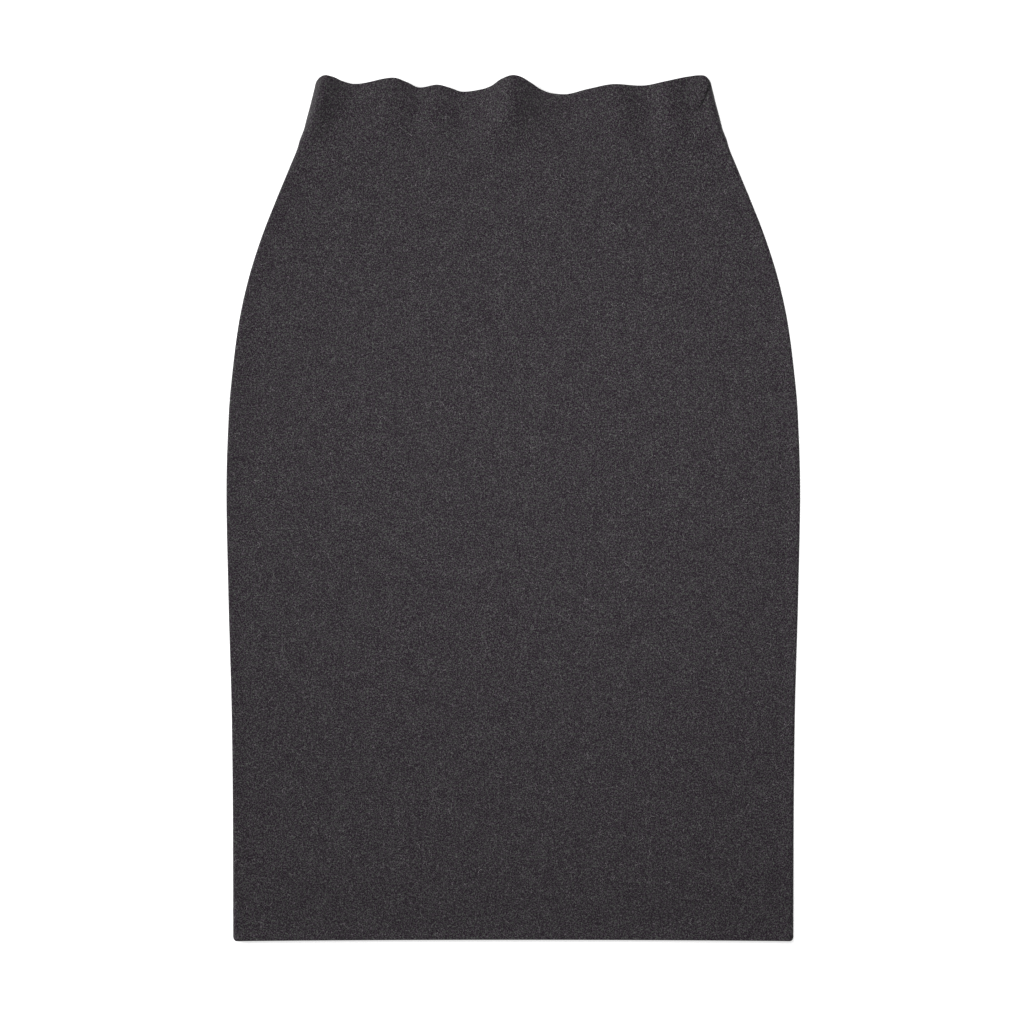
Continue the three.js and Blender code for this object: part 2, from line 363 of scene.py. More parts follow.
@dataclass
class Panel:
    """One cut panel of the skirt, turned in at the waist and up at the hem.

    Args:
        name: The piece's name.
        node: The node of the loaded model that it stands for.
        facing: Which way its right side looks.
        form: The form of the laid skirt.
        grid: The spacing of its mesh.
    """

    name: str
    node: str
    facing: Facing
    form: SkirtForm
    grid: MeshGrid
    share_nudge: float = 0.002
    angle_nudge: float = 0.05
    depth_nudge: float = 0.05
    station_gap: float = 0.004

    def __post_init__(self) -> None:
        """Prepare the form's tables."""
        sides, ripples = self.form.sides, self.form.ripples
        across = [row.across for row in ripples]
        self.side_table = SmoothTable([row.below for row in sides], [row.half for row in sides])
        self.drop_table = SmoothTable(across, [row.drop for row in ripples])
        self.lift_table = SmoothTable(across, [row.lift for row in ripples])

    def half_width(self, depth: Array) -> Array:
        """Give half of the laid width at depths below the waist's highest ripple."""
        form = self.form
        drawn_in = form.elastic_pull * (1.0 - smooth_step(form.pull_start, form.pull_end, depth))
        return self.side_table(depth) - drawn_in

    def inner_layers(self, below: Array) -> Array:
        """Give 1 where turned-in layers lie inside, and 0 where the panels lie on each other."""
        form = self.form
        past_waist = below - form.waist_turn_in - form.free_edge_room
        past_hem = form.outer_length - below - form.hem_turn_up - form.free_edge_room
        waist_share = smooth_step(0.0, form.waist_settle, past_waist)
        hem_share = smooth_step(0.0, form.hem_settle, past_hem)
        return 1.0 - np.minimum(waist_share, hem_share)

    def corner_cut(self, radius: float, from_edge: Array) -> Array:
        """Give how far a rounded corner cuts in, at distances from the outer edge."""
        inside = np.clip(1.0 - from_edge / radius, 0.0, 1.0)
        return radius * (1.0 - np.sqrt(1.0 - inside * inside))

    def seam_height(self, below: Array) -> Array:
        """Give the level at which the two panels meet at the side seams."""
        form = self.form
        level = form.cloth + form.layer_gap / 2.0 + form.seam_fullness / 2.0
        return level + form.pitch * self.inner_layers(below)

    def ripple_lift(self, across: Array, below: Array) -> Array:
        """Give how high the ripples raise the front."""
        form = self.form
        lean = form.middle_lean * (1.0 - smooth_step(0.0, form.lean_reach, np.abs(across)))
        share = 1.0 - smooth_step(form.ripple_full_depth, form.ripple_end_depth, below)
        return self.lift_table(across + lean * below) * share

    def rest_height(self, across: Array, below: Array, from_turn: Array) -> Array:
        """Give the height of the outer layer's middle.

        Args:
            across: Places across the waist edge.
            below: Depths below the waist edge.
            from_turn: Distances in from where the layer starts to round over to its seam.

        Returns:
            The heights, without the creases.
        """
        form = self.form
        if self.facing is Facing.DOWN:
            return np.full(np.shape(across + below), form.half_cloth)
        fullness = form.seam_fullness * (1.0 - smooth_step(0.0, form.seam_allowance, from_turn))
        layers = 3.0 * form.half_cloth + form.layer_gap
        layers = layers + 2.0 * form.pitch * self.inner_layers(below)
        return layers + fullness + self.ripple_lift(across, below)

    def turn_radius(self, below: Array, side: Array) -> Array:
        """Give the width over which the panel rounds over to its side seam."""
        form = self.form
        edge = side * form.waist_half
        rise = np.abs(self.rest_height(edge, below, np.zeros(1)) - self.seam_height(below))
        radius = rise - form.layer_gap / 2.0
        if self.facing is Facing.UP:
            radius = radius - (1.0 - form.corner_bulge) * self.ripple_lift(edge, below)
        return radius

    def outer_points(self, share: Array, turn: Array, below: Array) -> Array:
        """Give points in the middle of the outer layer.

        Args:
            share: Share of the flat width, from -1 to 1.
            turn: Angle of turn round the side seam.
            below: Depth below the waist edge.

        Returns:
            The points, one for each of the broadcast places.
        """
        form = self.form
        side = np.where(share < 0.0, -1.0, 1.0)
        radius = self.turn_radius(below, side)
        outermost = form.waist_half - form.half_cloth
        across = share * (outermost - radius) + side * radius * np.sin(turn)
        from_edge = outermost - np.abs(across)
        edge_share = np.abs(across) / outermost

        set_in = form.back_set_in if self.facing is Facing.DOWN else 0.0
        drop = self.drop_table(across) + set_in
        drop = drop + self.corner_cut(form.waist_corner_radius, from_edge)
        rise = form.hem_bow * (1.0 - edge_share * edge_share)
        rise = rise + self.corner_cut(form.hem_corner_radius, from_edge)
        straight = smooth_step(0.0, form.ripple_edge_zone, below)
        hem_start = form.outer_length - form.hem_corner_zone
        near_hem = smooth_step(hem_start, form.outer_length, below)
        y = form.waist_y - below - drop * (1.0 - straight) + rise * near_hem

        flat_half = self.half_width(form.length / 2.0 - y) - form.half_cloth - radius
        x = share * flat_half + side * radius * np.sin(turn)
        top = self.rest_height(across, below, flat_half * (1.0 - np.abs(share)))
        if self.facing is Facing.UP:
            top = top + sum(crease.height_at(x, y) for crease in form.creases)
        seam = self.seam_height(below) + self.facing.value * form.layer_gap / 2.0
        z = seam + (top - seam) * np.cos(turn)
        return np.stack(np.broadcast_arrays(x, y, z), axis=-1)

    def outer_places(self, share: Array, turn: Array, below: Array) -> Places:
        """Give the outer layer's places, with the directions that are square to the cloth.

        Args:
            share: Share of the flat width, from -1 to 1.
            turn: Angle of turn round the side seam.
            below: Depth below the waist edge.

        Returns:
            The middles, the outward normals, and the directions along the cloth to the waist.
        """
        side = np.where(share < 0.0, -1.0, 1.0)
        turned = turn > 0.0
        step_in = np.where(turned, 0.0, side * self.share_nudge)
        turn_in = np.where(turned, self.angle_nudge, 0.0)
        middle = self.outer_points(share, turn, below)
        beside = self.outer_points(share - step_in, turn - turn_in, below)
        beyond = self.outer_points(share, turn + turn_in, below)
        across = (beyond - beside) * (side * self.facing.value)[..., None]
        along = self.outer_points(share, turn, below - self.depth_nudge) - middle
        normal = unit(np.cross(across, along))
        return Places(middle, normal, unit(np.cross(normal, across)))

    def stations(self) -> tuple[Array, Array]:
        """Give the share and the turn of each station across the panel, in mesh order."""
        form, grid = self.form, self.grid
        radius = self.turn_radius(np.zeros(1), np.ones(1))[0]
        flat_half = form.waist_half - form.half_cloth - radius
        coarse = np.linspace(-1.0, 1.0, int(round(2.0 * flat_half / grid.across_step)) + 1)
        fine_start = grid.fine_from / flat_half
        shares = coarse
        if fine_start < 1.0:
            count = int(round((flat_half - grid.fine_from) / grid.fine_step)) + 1
            fine = np.linspace(fine_start, 1.0, count)
            shares = np.concatenate([coarse[coarse < fine_start - self.station_gap], fine])
        quarter = np.linspace(0.0, math.pi / 2.0, grid.turn_steps + 1)[1:]
        share = np.concatenate([-np.ones(len(quarter)), shares, np.ones(len(quarter))])
        turn = np.concatenate([quarter[::-1], np.zeros(len(shares)), quarter])
        if self.facing is Facing.DOWN:
            share, turn = share[::-1], turn[::-1]
        return share, turn

    def outer_depths(self) -> Array:
        """Give the depths of the outer layer's rows, from the waist to the hem."""
        form, grid = self.form, self.grid
        hem_start = form.outer_length - grid.hem_zone
        zones = (
            (0.0, grid.waist_zone, grid.waist_step),
            (grid.waist_zone, hem_start, grid.body_step),
            (hem_start, form.outer_length, grid.hem_step),
        )
        parts = [np.linspace(a, b, int(round((b - a) / step)) + 1)[:-1] for a, b, step in zones]
        return np.concatenate([*parts, [form.outer_length]])

    def layer(self, depths: Array, inside: bool) -> Places:
        """Give the rows of one layer at the given depths.

        Args:
            depths: Depths below the waist edge.
            inside: Whether it is the turned-in layer, one pitch inside the outer one.

        Returns:
            The places, by row and station.
        """
        share, turn = self.stations()
        places = self.outer_places(share[None, :], turn[None, :], depths[:, None])
        if inside:
            shift = -self.form.pitch * places.normal
            places = Places(places.middle + shift, -places.normal, places.upwards)
        return places

    def fold(self, depth: float, towards: int) -> Places:
        """Give the rows of a folded edge, from the turned-in layer to the outer one.

        Args:
            depth: Depth below the waist edge at which the cloth folds.
            towards: 1 for a fold that stands out towards the waist, -1 towards the hem.

        Returns:
            The places, by row and station.
        """
        share, turn = self.stations()
        edge = self.outer_places(share[None, :], turn[None, :], np.array([[depth]]))
        angles = np.linspace(0.0, math.pi, self.grid.fold_steps + 1)[1:-1, None, None]
        radial = -np.cos(angles) * edge.normal + towards * np.sin(angles) * edge.upwards
        centre = edge.middle - self.form.pitch / 2.0 * edge.normal
        middle = centre + self.form.pitch / 2.0 * radial
        return Places(middle, radial, np.broadcast_to(edge.upwards, middle.shape))

    def rows(self) -> Places:
        """Give all rows, from the turned-up hem's free edge to the turned-in waist's."""
        form, grid = self.form, self.grid
        hem_count = int(round(form.hem_turn_up / grid.inner_step)) + 1
        hem_start = form.outer_length - form.hem_turn_up
        hem_inner = np.linspace(hem_start, form.outer_length, hem_count)
        waist_count = int(round(form.waist_turn_in / grid.inner_step)) + 1
        waist_inner = np.linspace(0.0, form.waist_turn_in, waist_count)
        waist_fold = self.fold(0.0, 1)
        stretches = [
            self.layer(hem_inner, inside=True),
            self.fold(form.outer_length, -1),
            self.layer(self.outer_depths()[::-1], inside=False),
            Places(waist_fold.middle[::-1], waist_fold.normal[::-1], waist_fold.upwards),
            self.layer(waist_inner, inside=True),
        ]
        middle = np.concatenate([part.middle for part in stretches])
        normal = np.concatenate([part.normal for part in stretches])
        return Places(middle, normal, normal)

    def build(self) -> bpy.types.Object:
        """Build the closed wall of cloth, with its places on the flat cloth, in metres, as UVs."""
        places = self.rows()
        rows, columns = places.middle.shape[:2]
        offset = self.form.half_cloth * places.normal
        points = np.concatenate(
            [(places.middle + offset).reshape(-1, 3), (places.middle - offset).reshape(-1, 3)]
        )
        index = np.arange(rows * columns).reshape(rows, columns)
        under = index + rows * columns
        faces = [
            quads(index[:-1, :-1], index[:-1, 1:], index[1:, 1:], index[1:, :-1]),
            quads(under[:-1, :-1], under[1:, :-1], under[1:, 1:], under[:-1, 1:]),
            quads(index[0, :-1], under[0, :-1], under[0, 1:], index[0, 1:]),
            quads(index[-1, 1:], under[-1, 1:], under[-1, :-1], index[-1, :-1]),
            quads(index[1:, 0], under[1:, 0], under[:-1, 0], index[:-1, 0]),
            quads(index[:-1, -1], under[:-1, -1], under[1:, -1], index[1:, -1]),
        ]
        mesh = new_mesh(self.name, points * MM, np.concatenate(faces))
        add_uv(mesh, np.concatenate([cloth_map(places.middle)] * 2).reshape(-1, 2) * MM)
        # The front carries the painted fold shade as a point attribute, read by the cloth's
        # material.
        if self.facing is Facing.UP:
            add_shade(mesh, FOLD_SHADE, self.form.fold_shade(points[:, 0], points[:, 1]))
        return new_object(mesh)

    def right_side(self, name: str, margin: float) -> bpy.types.Object:
        """Build the right side of the outer layer alone, as an open surface.

        Args:
            name: The object's name.
            margin: How much is left out along the waist and the hem.

        Returns:
            The surface, for pieces that lie on the cloth.
        """
        depths = self.outer_depths()
        inside = (depths > margin) & (depths < self.form.outer_length - margin)
        places = self.layer(depths[inside][::-1], inside=False)
        rows, columns = places.middle.shape[:2]
        points = (places.middle + self.form.half_cloth * places.normal).reshape(-1, 3)
        index = np.arange(rows * columns).reshape(rows, columns)
        faces = quads(index[:-1, :-1], index[:-1, 1:], index[1:, 1:], index[1:, :-1])
        return new_object(new_mesh(name, points * MM, faces))


def quads(a: Array, b: Array, c: Array, d: Array) -> Array:
    """Join four arrays of corners into four-cornered faces."""
    return np.stack([a, b, c, d], axis=-1).reshape(-1, 4)


def cloth_map(middle: Array) -> Array:
    """Lay a panel's rows out flat.

    Args:
        middle: The panel's points by row and station, in millimetres.

    Returns:
        For each point, its distance from the centre line and its distance along the cloth.
    """
    steps = np.linalg.norm(np.diff(middle, axis=0), axis=-1)
    along = np.concatenate([np.zeros((1, steps.shape[1])), np.cumsum(steps, axis=0)])
    centre = middle.shape[1] // 2
    along = np.broadcast_to(along[:, centre : centre + 1], middle.shape[:2])
    across_steps = np.linalg.norm(np.diff(middle, axis=1), axis=-1)
    across = np.concatenate([np.zeros((len(middle), 1)), np.cumsum(across_steps, axis=1)], axis=1)
    return np.stack([across - across[:, centre : centre + 1], along], axis=-1)


def new_mesh(name: str, points: Array, faces: Array) -> bpy.types.Mesh:
    """Make a smooth-shaded mesh of four-cornered faces.

    Args:
        name: The mesh's name.
        points: Its points, in metres.
        faces: Its faces, four corners each.

    Returns:
        The mesh.
    """
    mesh = bpy.data.meshes.new(name)
    mesh.vertices.add(len(points))
    mesh.vertices.foreach_set("co", points.astype(np.float32).ravel())
    mesh.loops.add(faces.size)
    mesh.loops.foreach_set("vertex_index", faces.astype(np.int32).ravel())
    mesh.polygons.add(len(faces))
    mesh.polygons.foreach_set("loop_start", np.arange(0, faces.size, 4, dtype=np.int32))
    mesh.update(calc_edges=True)
    mesh.validate()
    mesh.shade_smooth()
    mesh.set_sharp_from_angle(angle=SHARP_FROM)
    return mesh


def add_uv(mesh: bpy.types.Mesh, places: Array) -> None:
    """Give a mesh a UV map from one flat place for each of its points."""
    layer = mesh.uv_layers.new(name="cloth")
    corners = np.empty(len(mesh.loops), dtype=np.int32)
    mesh.loops.foreach_get("vertex_index", corners)
    layer.data.foreach_set("uv", places[corners].astype(np.float32).ravel())


def add_shade(mesh: bpy.types.Mesh, name: str, shades: Array) -> None:
    """Give each point of a mesh a shade under a name."""
    layer = mesh.attributes.new(name, "FLOAT", "POINT")
    layer.data.foreach_set("value", shades.astype(np.float32))


def new_object(mesh: bpy.types.Mesh) -> bpy.types.Object:
    """Put a mesh into the scene at the origin."""
    obj = bpy.data.objects.new(mesh.name, mesh)
    bpy.context.scene.collection.objects.link(obj)
    return obj


class NodeGraph:
    """Makes and joins the nodes of one tree."""

    def __init__(self, tree: bpy.types.NodeTree) -> None:
        """Start on a tree.

        Args:
            tree: The node tree to fill.
        """
        self.tree = tree

    def fill(self, node: bpy.types.Node, values: dict) -> None:
        """Fill a node's inputs.

        Args:
            node: The node.
            values: Inputs by name or place, each a constant or another node's output.
        """
        for key, value in values.items():
            if isinstance(value, Socket):
                self.tree.links.new(value, node.inputs[key])
            else:
                node.inputs[key].default_value = value

    def add(self, kind: str, values: dict | None = None, **settings: object) -> bpy.types.Node:
        """Add a node.

        Args:
            kind: The node's type.
            values: What its inputs are filled with.
            settings: The node's own settings.

        Returns:
            The node.
        """
        node = self.tree.nodes.new(kind)
        for name, value in settings.items():
            setattr(node, name, value)
        self.fill(node, values or {})
        return node

    def get(self, kind: str, values: dict | None = None, **settings: object) -> Socket:
        """Add a node, and give its first output."""
        return self.add(kind, values, **settings).outputs[0]

    def math(self, operation: str, *values: object) -> Socket:
        """Add a calculation with up to three values, and give its result."""
        return self.get("ShaderNodeMath", dict(enumerate(values)), operation=operation)

    def vector(self, operation: str, first: object, second: object) -> Socket:
        """Add a calculation with two vectors, or a vector and its scale, and give its result."""
        place = 3 if operation == "SCALE" else 1
        return self.get("ShaderNodeVectorMath", {0: first, place: second}, operation=operation)

    def point(self, x: object = 0.0, y: object = 0.0, z: object = 0.0) -> Socket:
        """Join three values into a vector, and give it."""
        return self.get("ShaderNodeCombineXYZ", {0: x, 1: y, 2: z})

    def ramp(self, value: object, start: float, end: float) -> Socket:
        """Add a smooth rise from 0 to 1 between two values, and give its result."""
        values = {"Value": value, "From Min": start, "From Max": end}
        return self.get("ShaderNodeMapRange", values, interpolation_type="SMOOTHSTEP")

    def mix(self, share: object, first: object, second: object) -> Socket:
        """Mix two colours by a share, and give the result."""
        node = self.add("ShaderNodeMix", {0: share, 6: first, 7: second}, data_type="RGBA")
        return node.outputs[2]

    def noise(self, vector: object, scale: object, **inputs: object) -> Socket:
        """Add a noise texture, and give its value."""
        values = {"Vector": vector, "Scale": scale}
        values.update({key.title(): value for key, value in inputs.items()})
        return self.get("ShaderNodeTexNoise", values)

    def random(self, low: float, high: float, seed: object) -> Socket:
        """Add a random value for each point, and give it."""
        node = self.add("FunctionNodeRandomValue", {"Min": low, "Max": high, "Seed": seed})
        return next(socket for socket in node.outputs if socket.enabled)

    def strand(self, points: list[Socket], radius: Socket, steps: int, sides: int) -> Socket:
        """Add a round, bent strand.

        Args:
            points: Its start, the point that bends it, and its end.
            radius: Its radius.
            steps: How many stretches it has along its length.
            sides: How many sides it has.

        Returns:
            Its mesh.
        """
        start, middle, end = points
        bend = self.get(
            "GeometryNodeCurveQuadraticBezier",
            {"Resolution": steps, "Start": start, "Middle": middle, "End": end},
        )
        ring = self.get("GeometryNodeCurvePrimitiveCircle", {"Resolution": sides, "Radius": radius})
        return self.get(
            "GeometryNodeCurveToMesh", {"Curve": bend, "Profile Curve": ring, "Fill Caps": True}
        )

    def give(self, instances: Socket, material: Socket) -> None:
        """Make instances real, dress them and give them out as the tree's geometry."""
        real = self.get("GeometryNodeRealizeInstances", {0: instances})
        dressed = self.get("GeometryNodeSetMaterial", {"Geometry": real, "Material": material})
        self.add("NodeGroupOutput", {0: dressed})


def new_graph(kind: str, name: str, inputs: dict[str, object], outputs: list[str]) -> NodeGraph:
    """Make a node group that holds only its input node.

    Args:
        kind: Shader or Geometry.
        name: The group's name.
        inputs: Named inputs, each with its kind, or with its starting value if it is a number.
        outputs: Named outputs, each a number, or a geometry if that is its name.

    Returns:
        A graph on the group's tree.
    """
    tree = bpy.data.node_groups.new(name, f"{kind}NodeTree")
    for label, given in inputs.items():
        socket_kind = given if isinstance(given, str) else "Float"
        socket = tree.interface.new_socket(
            label, in_out="INPUT", socket_type=f"NodeSocket{socket_kind}"
        )
        if not isinstance(given, str):
            socket.default_value = given
    for label in outputs:
        socket_kind = label if label == "Geometry" else "Float"
        tree.interface.new_socket(label, in_out="OUTPUT", socket_type=f"NodeSocket{socket_kind}")
    return NodeGraph(tree)


@dataclass
class YarnEffects:
    """The effects that the skirt's materials share, each a node group built once."""

    fine_ratio: float = 2.3
    loop_ratio: float = 0.74
    loop_warp: float = 1.0
    curl_weight: float = 0.6
    loop_weight: float = 0.4
    fine_weight: float = 0.3
    patch_weight: float = 0.08
    grain_range: tuple[float, float] = (0.52, 0.91)
    grain_contrast: float = 1.7
    fleck_range: tuple[float, float] = (0.69, 0.8)
    break_shift: tuple[float, float, float] = (3.17, 1.31, 0.0)
    break_ratio: float = 1.7
    break_softness: float = 0.07

    def __post_init__(self) -> None:
        """Build the groups."""
        self.nap = self.build_nap()
        self.strays = self.build_strays()
        self.streaks = self.build_streaks()

    def build_nap(self) -> bpy.types.NodeTree:
        """Build the curled, felted grain of a brushed knit.

        Returns:
            A group that gives the grain, its flecks and the height of the nap.
        """
        sizes = {"Grain Size": 0.7, "Fleck Size": 1.6, "Patch Size": 14.0}
        graph = new_graph(
            "Shader", "brushed_nap", {"Vector": "Vector", **sizes}, ["Grain", "Fleck", "Height"]
        )
        given = graph.add("NodeGroupInput").outputs
        place = given["Vector"]
        grain_scale, fleck_scale, patch_scale = (
            graph.math("DIVIDE", 1.0 / MM, given[label]) for label in sizes
        )
        curls = graph.noise(place, grain_scale, detail=1.5, roughness=0.55, distortion=1.3)
        fine_scale = graph.math("MULTIPLY", grain_scale, self.fine_ratio)
        fine = graph.noise(place, fine_scale, detail=1.0, distortion=0.8)
        patches = graph.noise(place, patch_scale, detail=3.0, roughness=0.6)
        warp = graph.noise(place, grain_scale, detail=0.0).node.outputs[1]
        bent = graph.vector("ADD", place, graph.vector("SCALE", warp, self.loop_warp * MM))
        loop_scale = graph.math("MULTIPLY", grain_scale, self.loop_ratio)
        loops = graph.get("ShaderNodeTexVoronoi", {"Vector": bent, "Scale": loop_scale})
        height = graph.math("MULTIPLY", curls, self.curl_weight)
        height = graph.math("MULTIPLY_ADD", loops, self.loop_weight, height)
        height = graph.math("MULTIPLY_ADD", fine, self.fine_weight, height)
        raised = graph.math("MULTIPLY_ADD", patches, self.patch_weight, height)
        grain = graph.math("POWER", graph.ramp(raised, *self.grain_range), self.grain_contrast)
        fleck = graph.ramp(graph.noise(place, fleck_scale, detail=0.0), *self.fleck_range)
        graph.add("NodeGroupOutput", {"Grain": grain, "Fleck": fleck, "Height": height})
        return graph.tree

    def build_strays(self) -> bpy.types.NodeTree:
        """Build short stray fibres, as broken contour lines of a soft noise.

        Returns:
            A group that gives the mask of the fibres.
        """
        inputs = {"Vector": "Vector", "Curl Size": 5.0, "Fineness": 0.012, "Rarity": 0.6}
        graph = new_graph("Shader", "stray_fibres", inputs, ["Mask"])
        given = graph.add("NodeGroupInput").outputs
        scale = graph.math("DIVIDE", 1.0 / MM, given["Curl Size"])
        curl = graph.noise(given["Vector"], scale, detail=1.0, roughness=0.4, distortion=1.1)
        distance = graph.math("ABSOLUTE", graph.math("SUBTRACT", curl, 0.5))
        line = graph.ramp(graph.math("DIVIDE", distance, given["Fineness"]), 1.0, 0.0)
        shifted = graph.vector("ADD", given["Vector"], self.break_shift)
        break_scale = graph.math("MULTIPLY", scale, self.break_ratio)
        breaks = graph.noise(shifted, break_scale, detail=0.0)
        above = graph.math("SUBTRACT", breaks, given["Rarity"])
        kept = graph.ramp(above, 0.0, self.break_softness)
        graph.add("NodeGroupOutput", {"Mask": graph.math("MULTIPLY", line, kept)})
        return graph.tree

    def build_streaks(self) -> bpy.types.NodeTree:
        """Build the faint lengthwise streaks of uneven yarn in the wales.

        Returns:
            A group that gives the streaks, from 0 to 1.
        """
        sizes = {"Wale Width": 1.6, "Run": 70.0}
        graph = new_graph("Shader", "wale_streaks", {"Vector": "Vector", **sizes}, ["Streak"])
        given = graph.add("NodeGroupInput").outputs
        parts = graph.add("ShaderNodeSeparateXYZ", {0: given["Vector"]}).outputs
        across, along = (
            graph.math("DIVIDE", graph.math("DIVIDE", part, MM), given[label])
            for part, label in zip(parts, sizes)
        )
        streak = graph.noise(graph.point(across, along), 1.0, detail=2.0, roughness=0.6)
        graph.add("NodeGroupOutput", {"Streak": streak})
        return graph.tree


@dataclass(frozen=True)
class ClothFinish:
    """Brushed charcoal knit, flecked with paler fibres, with painted shade darkening the front's
    colour in its sharp folds.

    Colours are linear. The painted highlight, a lighter band of colour along the hem's folded edge,
    is given in metres along the cloth from its free edge, and other sizes are in millimetres.
    """

    name: str = "charcoal_heather_knit"
    hollow: Colour = (0.0060, 0.0002, 0.0060, 1.0)
    crown: Colour = (0.0770, 0.0785, 0.0770, 1.0)
    fleck: Colour = (0.1350, 0.1230, 0.1330, 1.0)
    stray: Colour = (0.1250, 0.1160, 0.1220, 1.0)
    fleck_strength: float = 0.5
    stray_strength: float = 0.5
    streak_strength: float = 0.08
    hem_highlight_range: tuple[float, float] = (0.047, 0.033)
    hem_highlight_gain: float = 0.12
    painted_fold_shade: float = 0.75
    nap_height: float = 0.4
    violet: Colour = (1.03, 0.94, 1.04, 1.0)
    neutral: Colour = (0.97, 1.06, 0.96, 1.0)
    tint_size: float = 2.2
    tint_range: tuple[float, float] = (0.38, 0.62)
    roughness: float = 0.92
    specular: float = 0.25
    sheen: float = 0.1
    sheen_roughness: float = 0.45

    def build(self, effects: YarnEffects) -> bpy.types.Material:
        """Build the material.

        Args:
            effects: The shared groups.

        Returns:
            The material, which reads the cloth's own UV map.
        """
        material, graph, shader = new_material(self.name)
        cloth = graph.add("ShaderNodeTexCoord").outputs["UV"]
        nap, strays, streaks = (
            graph.add("ShaderNodeGroup", {"Vector": cloth}, node_tree=tree).outputs
            for tree in (effects.nap, effects.strays, effects.streaks)
        )
        grey = graph.mix(nap["Grain"], self.hollow, self.crown)
        fleck = graph.math("MULTIPLY", nap["Fleck"], self.fleck_strength)
        flecked = graph.mix(fleck, grey, self.fleck)
        stray = graph.math("MULTIPLY", strays["Mask"], self.stray_strength)
        haired = graph.mix(stray, flecked, self.stray)
        streak = graph.math("SUBTRACT", streaks["Streak"], 0.5)
        uneven = graph.math("MULTIPLY_ADD", streak, self.streak_strength * 2.0, 1.0)
        along = graph.add("ShaderNodeSeparateXYZ", {0: cloth}).outputs[1]
        # Painted highlight: the colour is lightened in a band along the hem's folded edge.
        hem_highlight = graph.ramp(along, *self.hem_highlight_range)
        raised = graph.math("MULTIPLY_ADD", hem_highlight, self.hem_highlight_gain, uneven)
        # Painted shade: the colour is darkened where the front lies deep in a sharp fold.
        fold = graph.add("ShaderNodeAttribute", attribute_name=FOLD_SHADE).outputs["Fac"]
        fold_shade_factor = graph.math("MULTIPLY_ADD", fold, -self.painted_fold_shade, 1.0)
        lit = graph.vector("SCALE", haired, graph.math("MULTIPLY", raised, fold_shade_factor))
        tint_noise = graph.noise(cloth, 1.0 / (self.tint_size * MM), detail=1.0)
        tint = graph.mix(graph.ramp(tint_noise, *self.tint_range), self.violet, self.neutral)
        relief = {"Height": nap["Height"], "Distance": self.nap_height * MM, "Strength": 1.0}
        graph.fill(
            shader,
            {
                "Base Color": graph.vector("MULTIPLY", lit, tint),
                "Normal": graph.get("ShaderNodeBump", relief),
                "Roughness": self.roughness,
                "Specular IOR Level": self.specular,
                "Sheen Weight": self.sheen,
                "Sheen Roughness": self.sheen_roughness,
            },
        )
        return material


@dataclass(frozen=True)
class ThreadFinish:
    """Spun sewing thread, dyed to match the cloth."""

    name: str = "charcoal_sewing_thread"
    dark: Colour = (0.012, 0.011, 0.012, 1.0)
    light: Colour = (0.040, 0.037, 0.040, 1.0)
    roughness: float = 0.6
    ply_size: float = 0.35

    def build(self, effects: YarnEffects) -> bpy.types.Material:
        """Build the material from the shared nap, finer than on the cloth."""
        material, graph, shader = new_material(self.name)
        place = graph.add("ShaderNodeTexCoord").outputs["Object"]
        inputs = {"Vector": place, "Grain Size": self.ply_size}
        nap = graph.add("ShaderNodeGroup", inputs, node_tree=effects.nap).outputs
        colour = graph.mix(nap["Grain"], self.dark, self.light)
        graph.fill(shader, {"Base Color": colour, "Roughness": self.roughness})
        return material


@dataclass(frozen=True)
class HairFinish:
    """Loose fibres of the nap, each with its own shade."""

    name: str = "loose_heather_fibres"
    dark: Colour = (0.030, 0.028, 0.030, 1.0)
    pale: Colour = (0.420, 0.395, 0.410, 1.0)
    roughness: float = 0.7
    specular: float = 0.3
    shade_name: str = "shade"

    def build(self) -> bpy.types.Material:
        """Build the material, which reads the fibre's own shade."""
        material, graph, shader = new_material(self.name)
        shade = graph.add("ShaderNodeAttribute", attribute_name=self.shade_name).outputs["Fac"]
        colour = graph.mix(shade, self.dark, self.pale)
        look = {"Roughness": self.roughness, "Specular IOR Level": self.specular}
        graph.fill(shader, {"Base Color": colour, **look})
        return material


@dataclass(frozen=True)
class FloorFinish:
    """A white acrylic table, softly lit from below."""

    name: str = "lit_white_acrylic"
    low: Colour = (0.86, 0.86, 0.86, 1.0)
    high: Colour = (0.88, 0.88, 0.88, 1.0)
    cloud_scale: float = 3.0
    roughness: float = 0.9
    specular: float = 0.1
    glow_colour: Colour = (1.0, 1.0, 1.0, 1.0)
    glow: float = 0.65

    def build(self) -> bpy.types.Material:
        """Build the material."""
        material, graph, shader = new_material(self.name)
        place = graph.add("ShaderNodeTexCoord").outputs["Object"]
        tone = graph.noise(place, self.cloud_scale, detail=2.0)
        graph.fill(
            shader,
            {
                "Base Color": graph.mix(tone, self.low, self.high),
                "Emission Color": self.glow_colour,
                "Emission Strength": self.glow,
                "Roughness": self.roughness,
                "Specular IOR Level": self.specular,
            },
        )
        return material


def new_material(
    name: str,
) -> tuple[bpy.types.Material, NodeGraph, bpy.types.ShaderNodeBsdfPrincipled]:
    """Make a node material with its one shader.

    Args:
        name: The material's name.

    Returns:
        The material, a graph on its tree, and its shader.
    """
    material = bpy.data.materials.new(name)
    material.use_nodes = True
    shader = material.node_tree.nodes["Principled BSDF"]
    return material, NodeGraph(material.node_tree), shader


